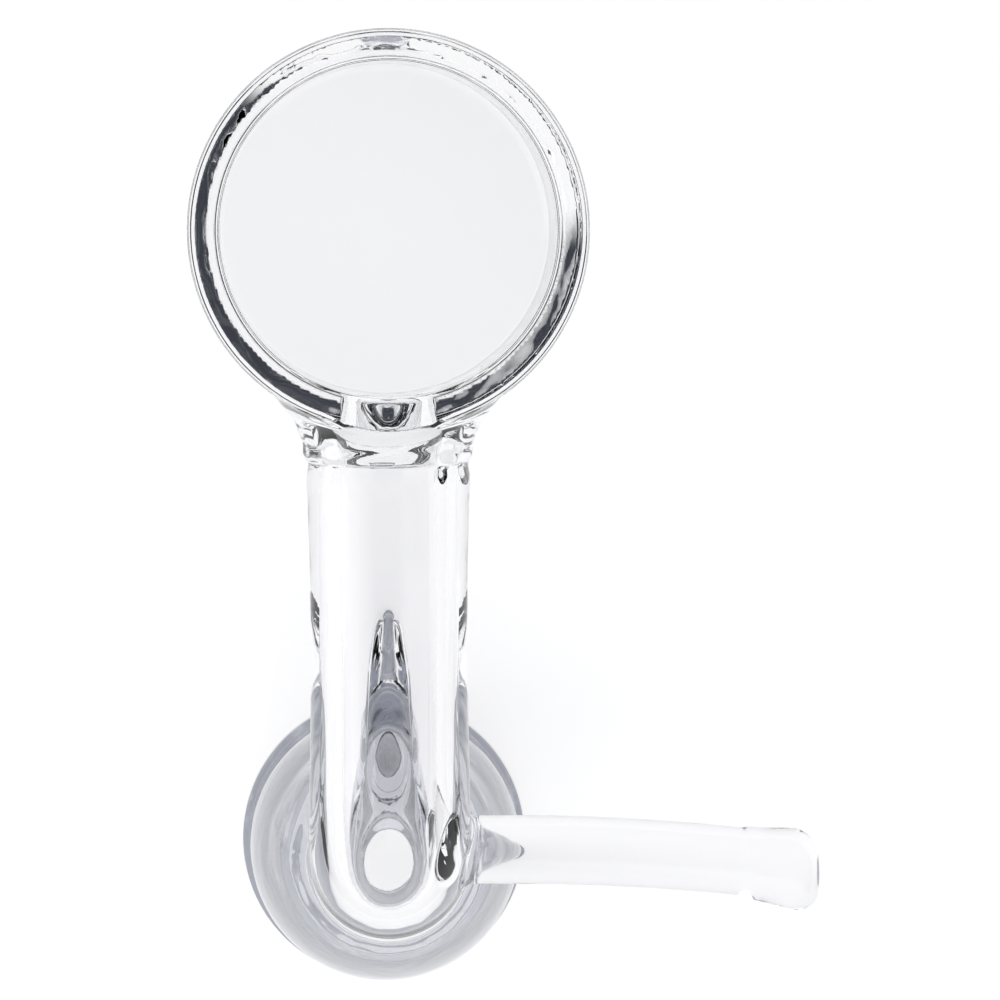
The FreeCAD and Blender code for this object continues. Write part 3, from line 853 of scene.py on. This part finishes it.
def haze_group():
    """Thin smears and specks: a colour that is mostly clear, and a roughness that is mostly nothing."""
    found = bpy.data.node_groups.get("smears and specks")
    if found:
        return found
    tree, given, out = shader_group(
        "smears and specks",
        [("Clear", (1.0, 1.0, 1.0, 1.0)), ("Haze", (0.9, 0.9, 0.9, 1.0)), ("Amount", 1.0)],
        [("Color", "NodeSocketColor"), ("Roughness", "NodeSocketFloat")],
    )
    where = place_of(tree)
    smear = noise_node(tree, stretched(tree, where, (1.0, 0.6, 1.0)), 420.0, 4.0, 0.62)
    smear = ramp_node(tree, smear, 0.56, 0.8)
    cells = tree.nodes.new("ShaderNodeTexVoronoi")
    cells.inputs["Scale"].default_value = 520.0
    tree.links.new(where, cells.inputs["Vector"])
    pick = tree.nodes.new("ShaderNodeSeparateColor")
    tree.links.new(cells.outputs["Color"], pick.inputs[0])
    chosen = math_node(tree, "GREATER_THAN", pick.outputs[0], 0.94)
    speck = math_node(tree, "MULTIPLY", math_node(tree, "LESS_THAN", cells.outputs["Distance"], 0.07), chosen)
    mask = math_node(tree, "MULTIPLY", math_node(tree, "MAXIMUM", smear, speck), given.outputs["Amount"])
    tree.links.new(mix_node(tree, mask, given.outputs["Clear"], given.outputs["Haze"]), out.inputs["Color"])
    tree.links.new(math_node(tree, "MULTIPLY", mask, 0.045), out.inputs["Roughness"])
    return tree


def grinding_group():
    """Rings and pits of the ground bore."""
    found = bpy.data.node_groups.get("grinding")
    if found:
        return found
    tree, given, out = shader_group(
        "grinding",
        [("Frost", (0.9, 0.9, 0.9, 1.0)), ("Scratch", (1.0, 1.0, 1.0, 1.0)), ("Roughness", 0.5)],
        [("Color", "NodeSocketColor"), ("Roughness", "NodeSocketFloat"), ("Height", "NodeSocketFloat")],
    )
    where = place_of(tree)
    rings = noise_node(tree, stretched(tree, where, (60.0, 60.0, 4200.0)), 1.0, 3.0, 0.6)
    pits = noise_node(tree, where, 5200.0, 2.0, 0.7)
    patches = noise_node(tree, where, 330.0, 3.0, 0.6)
    scratch = ramp_node(tree, rings, 0.56, 0.7)
    pit = ramp_node(tree, pits, 0.58, 0.68)
    mask = math_node(tree, "MAXIMUM", math_node(tree, "MULTIPLY", scratch, 0.8), pit)
    # Frost carries the ground tint, which is darkened as painted shade; the lighter scratches are real
    # grinding marks.
    colour = mix_node(tree, mask, given.outputs["Frost"], given.outputs["Scratch"])
    tree.links.new(colour, out.inputs["Color"])
    uneven = math_node(tree, "MULTIPLY", math_node(tree, "SUBTRACT", patches, 0.5), 0.35)
    rough = math_node(tree, "ADD", given.outputs["Roughness"], uneven)
    rough = math_node(tree, "ADD", rough, math_node(tree, "MULTIPLY", mask, 0.12))
    tree.links.new(rough, out.inputs["Roughness"])
    height = math_node(tree, "ADD", math_node(tree, "MULTIPLY", rings, 0.6), pits)
    tree.links.new(height, out.inputs["Height"])
    return tree


def place_group(tree, group, **values):
    """Places a node group and sets its inputs."""
    node = tree.nodes.new("ShaderNodeGroup")
    node.node_tree = group
    for label, value in values.items():
        node.inputs[label].default_value = value
    return node


ALONG_NECK, ALONG_BUCKET, ALONG_ROD = (1.0, 0.04, 1.0), (1.0, 1.0, 0.04), (0.04, 1.0, 1.0)
GRINDING_RELIEF = 0.00003

# clear finishes: amount of haze, tint, the group that shapes the skin, its values, and its relief in metres
CLEAR_FINISHES = {
    "drawn neck": (0.5, "clear_tint", striae_group, {"Across": ALONG_NECK, "Pitch": 700.0}, 0.000012),
    "drawn bucket": (0.5, "clear_tint", striae_group, {"Across": ALONG_BUCKET, "Pitch": 500.0}, 0.000003),
    "drawn rod": (0.4, "clear_tint", striae_group, {"Across": ALONG_ROD, "Pitch": 800.0}, 0.00001),
    "melted quartz": (0.6, "clear_tint", flame_group, {"Scale": 300.0}, 0.00006),
    "hazed base": (1.0, "base_tint", flame_group, {"Scale": 300.0}, 0.00002),
    # the joint skin's dark tint is painted shade, not the colour of the quartz
    "shaded joint skin": (1.0, "joint_shade_tint", flame_group, {"Scale": 420.0}, 0.00005),
}


def quartz_shader(name):
    """A new glass material: its node tree and its shader."""
    made = bpy.data.materials.new(name)
    made.use_nodes = True
    shader = made.node_tree.nodes["Principled BSDF"]
    shader.inputs["IOR"].default_value = bpy.context.scene.quartz_finish.refraction
    shader.inputs["Transmission Weight"].default_value = 1.0
    return made, made.node_tree, shader


def wire_finish(tree, shader, marks, height, relief):
    """Feeds the shader a marks group's colour and roughness, and a bump of the height socket."""
    bump = tree.nodes.new("ShaderNodeBump")
    bump.inputs["Distance"].default_value = relief
    tree.links.new(marks.outputs["Color"], shader.inputs["Base Color"])
    tree.links.new(marks.outputs["Roughness"], shader.inputs["Roughness"])
    tree.links.new(height, bump.inputs["Height"])
    tree.links.new(bump.outputs["Normal"], shader.inputs["Normal"])


def finish_for(name):
    """The material of that name, made when first asked for."""
    found = bpy.data.materials.get(name)
    if found:
        return found
    if name == "fused join":
        # the join between two pieces that are fused into one: nothing is seen of it
        made = bpy.data.materials.new(name)
        made.use_nodes = True
        made.node_tree.nodes["Principled BSDF"].inputs["Alpha"].default_value = 0.0
        return made
    finish = bpy.context.scene.quartz_finish
    made, tree, shader = quartz_shader(name)
    if name == "ground bore":
        # the frosted bore's dark colour is painted shade, from the ground tint
        marks = place_group(
            tree, grinding_group(), Frost=tuple(finish.frost_and_shade_tint), Scratch=tuple(finish.scratch_tint),
            Roughness=finish.ground_roughness,
        )
        wire_finish(tree, shader, marks, marks.outputs["Height"], GRINDING_RELIEF)
        return made
    haze, tint, group, values, relief = CLEAR_FINISHES[name]
    marks = place_group(
        tree, haze_group(), Clear=tuple(getattr(finish, tint)), Haze=tuple(finish.haze_tint), Amount=haze
    )
    wire_finish(tree, shader, marks, place_group(tree, group(), **values).outputs["Height"], relief)
    return made


FINISHES = {
    "bucket_wall": ("drawn bucket", "clear_quartz"), "bucket_base": ("hazed base", "clear_quartz"),
    "neck_weld": ("melted quartz", "melted_quartz"), "neck_tube": ("drawn neck", "clear_quartz"),
    "socket_weld": ("melted quartz", "melted_quartz"), "socket_joint": ("shaded joint skin", "ground_quartz"),
    "socket_lip": ("shaded joint skin", "ground_quartz"), "handle_weld": ("melted quartz", "melted_quartz"),
    "handle_rod": ("drawn rod", "clear_quartz"), "handle_knob": ("melted quartz", "melted_quartz"),
}


def add_pieces(*names):
    """Makes the pieces' objects and ties them to the frame."""
    for name in names:
        skin_finish, slot = FINISHES[name]
        mesh = piece_mesh(name)
        for finish in (skin_finish, "ground bore", "fused join"):
            mesh.materials.append(finish_for(finish))
        piece = bpy.data.objects.new(f"glass_{name}", mesh)
        bpy.context.scene.collection.objects.link(piece)
        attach(piece, "root")
        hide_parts(name)
    return {"FINISHED"}


# ---------------------------------------------------------------------------------------------------------
# Studio
# ---------------------------------------------------------------------------------------------------------


class StudioValues(bpy.types.PropertyGroup):
    """The floor, the lights and the camera."""

    floor_half: bpy.props.FloatProperty(
        name="Floor", description="Half the side of the floor", default=3.0, min=0.1, unit="LENGTH"
    )
    floor_gap: length("Floor gap", "How far the floor lies under the socket's mouth", 0.2)
    floor_colour: bpy.props.FloatVectorProperty(
        name="Floor colour", description="Colour of the floor", subtype="COLOR", size=4,
        default=(0.80, 0.80, 0.81, 1.0), min=0.0, max=1.0,
    )
    floor_glow: bpy.props.FloatProperty(
        name="Floor glow", description="Light that comes up through the floor", default=0.80, min=0.0
    )
    floor_lift: bpy.props.FloatProperty(
        name="Floor lift", description="How much more of the floor's light the camera sees directly",
        default=0.035, min=0.0,
    )
    pale_side: bpy.props.FloatProperty(
        name="Window", description="Brightness of the window of soft light", default=1.05, min=0.0
    )
    dark_side: bpy.props.FloatProperty(
        name="Dark side", description="Brightness of the rest of the studio", default=0.05, min=0.0
    )
    backdrop: bpy.props.FloatProperty(
        name="Backdrop", description="Brightness of the backdrop behind the floor", default=0.9, min=0.0
    )
    softbox_power: bpy.props.FloatProperty(
        name="Softbox", description="Power of each softbox, in watts", default=0.15, min=0.0
    )
    camera_place: bpy.props.FloatVectorProperty(
        name="Camera", description="Where the camera stands", subtype="TRANSLATION", unit="LENGTH", size=3,
        default=(-0.00777, 0.04317, 0.640),
    )
    camera_aim: bpy.props.FloatVectorProperty(
        name="Aim", description="What the camera looks at", subtype="TRANSLATION", unit="LENGTH", size=3,
        default=(0.00683, 0.02352, 0.040),
    )
    camera_roll: bpy.props.FloatProperty(
        name="Roll", description="Turn of the camera about its own axis", default=0.00421, subtype="ANGLE"
    )
    camera_lens: bpy.props.FloatProperty(
        name="Lens", description="Focal length in millimetres, on a sensor 36 mm wide", default=348.6, min=1.0
    )


def make_floor(studio):
    half, low = studio.floor_half, -studio.floor_gap
    mesh = bpy.data.meshes.new("floor")
    corners = [(-half, -half, low), (half, -half, low), (half, half, low), (-half, half, low)]
    mesh.from_pydata(corners, [], [(0, 1, 2, 3)])
    floor = bpy.data.objects.new("floor", mesh)
    bpy.context.scene.collection.objects.link(floor)
    material = bpy.data.materials.new("pale floor")
    material.use_nodes = True
    shader = material.node_tree.nodes["Principled BSDF"]
    shader.inputs["Base Color"].default_value = studio.floor_colour
    shader.inputs["Roughness"].default_value = 0.9
    shader.inputs["Specular IOR Level"].default_value = 0.1
    shader.inputs["Emission Color"].default_value = (1, 1, 1, 1)
    # light that goes on through the glass leaves the floor a little weaker than light straight to the camera
    tree = material.node_tree
    seen = tree.nodes.new("ShaderNodeLightPath").outputs["Is Camera Ray"]
    extra = math_node(tree, "MULTIPLY", seen, studio.floor_lift)
    tree.links.new(math_node(tree, "ADD", extra, studio.floor_glow - studio.floor_lift),
                   shader.inputs["Emission Strength"])
    mesh.materials.append(material)


# the window of light: its azimuth, the cosines at which its sides fade in, the heights of its foot and head
WINDOW_AZIMUTH, WINDOW_SIDES = math.radians(247), (0.28, 0.5)
WINDOW_FOOT, WINDOW_HEAD = (-0.12, -0.02), (0.88, 0.78)


def make_world(studio):
    """A dark studio with one long window of soft light; the camera itself sees the dark part as pale."""
    world = bpy.data.worlds.new("studio")
    bpy.context.scene.world = world
    world.use_nodes = True
    tree = world.node_tree
    split = tree.nodes.new("ShaderNodeSeparateXYZ")
    tree.links.new(tree.nodes.new("ShaderNodeTexCoord").outputs["Generated"], split.inputs[0])
    level = math_node(tree, "SUBTRACT", 1.0, math_node(tree, "POWER", split.outputs["Z"], 2.0))
    level = math_node(tree, "SQRT", math_node(tree, "MAXIMUM", level, 0.0001), 0.0)
    facing = math_node(
        tree, "ADD",
        math_node(tree, "MULTIPLY", split.outputs["X"], math.cos(WINDOW_AZIMUTH)),
        math_node(tree, "MULTIPLY", split.outputs["Y"], math.sin(WINDOW_AZIMUTH)),
    )
    window = ramp_node(tree, math_node(tree, "DIVIDE", facing, level), *WINDOW_SIDES)
    for edges in (WINDOW_FOOT, WINDOW_HEAD):
        window = math_node(tree, "MULTIPLY", window, ramp_node(tree, split.outputs["Z"], *edges))
    pale, dark = studio.pale_side, studio.dark_side
    colour = mix_node(tree, window, (dark, dark * 1.08, dark * 1.35, 1.0), (pale, pale, pale, 1.0))
    seen = tree.nodes.new("ShaderNodeLightPath").outputs["Is Camera Ray"]
    backdrop = studio.backdrop
    colour = mix_node(tree, seen, colour, (backdrop, backdrop, backdrop, 1.0))
    tree.links.new(colour, tree.nodes["Background"].inputs["Color"])


def softbox(name, place, target, size, power):
    data = bpy.data.lights.new(name, "AREA")
    data.shape = "RECTANGLE"
    data.size, data.size_y = size
    data.energy = power
    light = bpy.data.objects.new(name, data)
    light.location = place
    light.rotation_euler = (Vector(target) - Vector(place)).to_track_quat("-Z", "Y").to_euler()
    bpy.context.scene.collection.objects.link(light)


def make_camera(studio):
    scene = bpy.context.scene
    data = bpy.data.cameras.new("camera")
    camera = bpy.data.objects.new("camera", data)
    scene.collection.objects.link(camera)
    scene.camera = camera
    place, aim, roll = Vector(studio.camera_place), Vector(studio.camera_aim), studio.camera_roll
    back = (place - aim).normalized()
    right = Vector((math.sin(roll), math.cos(roll), 0)).cross(back).normalized()
    camera.location = place
    camera.rotation_euler = Matrix((right, back.cross(right), back)).transposed().to_euler()
    data.sensor_width = 36
    data.lens = studio.camera_lens
    data.clip_start, data.clip_end = 0.01, 20


# ---------------------------------------------------------------------------------------------------------
# Operators and panel
# ---------------------------------------------------------------------------------------------------------


class QUARTZ_OT_bucket(bpy.types.Operator):
    """Make the bucket: its thick tube and the disc it stands on"""

    bl_idname = "quartz.bucket"
    bl_label = "Bucket"

    def execute(self, context):
        return add_pieces("bucket_wall", "bucket_base")


class QUARTZ_OT_neck(bpy.types.Operator):
    """Make the bent neck"""

    bl_idname = "quartz.neck"
    bl_label = "Neck"

    def execute(self, context):
        return add_pieces("neck_tube")


class QUARTZ_OT_melts(bpy.types.Operator):
    """Make the melted zones between the blanks"""

    bl_idname = "quartz.melts"
    bl_label = "Melted zones"

    def execute(self, context):
        return add_pieces("neck_weld", "socket_weld", "handle_weld")


class QUARTZ_OT_socket(bpy.types.Operator):
    """Make the ground socket and its lip"""

    bl_idname = "quartz.socket"
    bl_label = "Socket"

    def execute(self, context):
        return add_pieces("socket_joint", "socket_lip")


class QUARTZ_OT_handle(bpy.types.Operator):
    """Make the handle: its rod and its knob"""

    bl_idname = "quartz.handle"
    bl_label = "Handle"

    def execute(self, context):
        return add_pieces("handle_rod", "handle_knob")


class QUARTZ_OT_studio(bpy.types.Operator):
    """Make the floor, the lights and the camera"""

    bl_idname = "quartz.studio"
    bl_label = "Studio"

    def execute(self, context):
        studio = context.scene.quartz_studio
        make_floor(studio)
        make_world(studio)
        middle = (0.0, 0.02, 0.02)
        softbox("softbox front", (0.1, -0.6, 0.7), middle, (0.5, 0.5), studio.softbox_power)
        softbox("softbox left", (-0.7, -0.1, 0.5), middle, (0.4, 0.6), studio.softbox_power)
        make_camera(studio)
        context.scene.view_settings.view_transform = "Standard"
        context.scene.cycles.transparent_max_bounces = 48
        context.scene.cycles.transmission_bounces = 24
        context.scene.cycles.max_bounces = 24
        return {"FINISHED"}


STEPS = (
    QUARTZ_OT_bucket, QUARTZ_OT_neck, QUARTZ_OT_melts, QUARTZ_OT_socket, QUARTZ_OT_handle, QUARTZ_OT_studio
)
GROUPS = {
    "quartz_blanks": BlankSizes, "quartz_melts": MeltSizes, "quartz_finish": FinishValues,
    "quartz_studio": StudioValues,
}


class QUARTZ_PT_panel(bpy.types.Panel):
    """Sizes, finishes and steps of the quartz bucket"""

    bl_label = "Quartz bucket"
    bl_space_type = "VIEW_3D"
    bl_region_type = "UI"
    bl_category = "Quartz"

    def draw(self, context):
        for attribute, group in GROUPS.items():
            box = self.layout.box()
            box.label(text=group.__doc__)
            for name in group.__annotations__:
                box.prop(getattr(context.scene, attribute), name)
        for step in STEPS:
            self.layout.operator(step.bl_idname)


def register():
    for cls in (*GROUPS.values(), *STEPS, QUARTZ_PT_panel):
        bpy.utils.register_class(cls)
    for attribute, group in GROUPS.items():
        setattr(bpy.types.Scene, attribute, bpy.props.PointerProperty(type=group))


def unregister():
    for attribute in GROUPS:
        delattr(bpy.types.Scene, attribute)
    for cls in (QUARTZ_PT_panel, *reversed(STEPS), *GROUPS.values()):
        bpy.utils.unregister_class(cls)


def main():
    register()
    for step in STEPS:
        family, name = step.bl_idname.split(".")
        getattr(getattr(bpy.ops, family), name)()


if __name__ == "__main__":
    main()
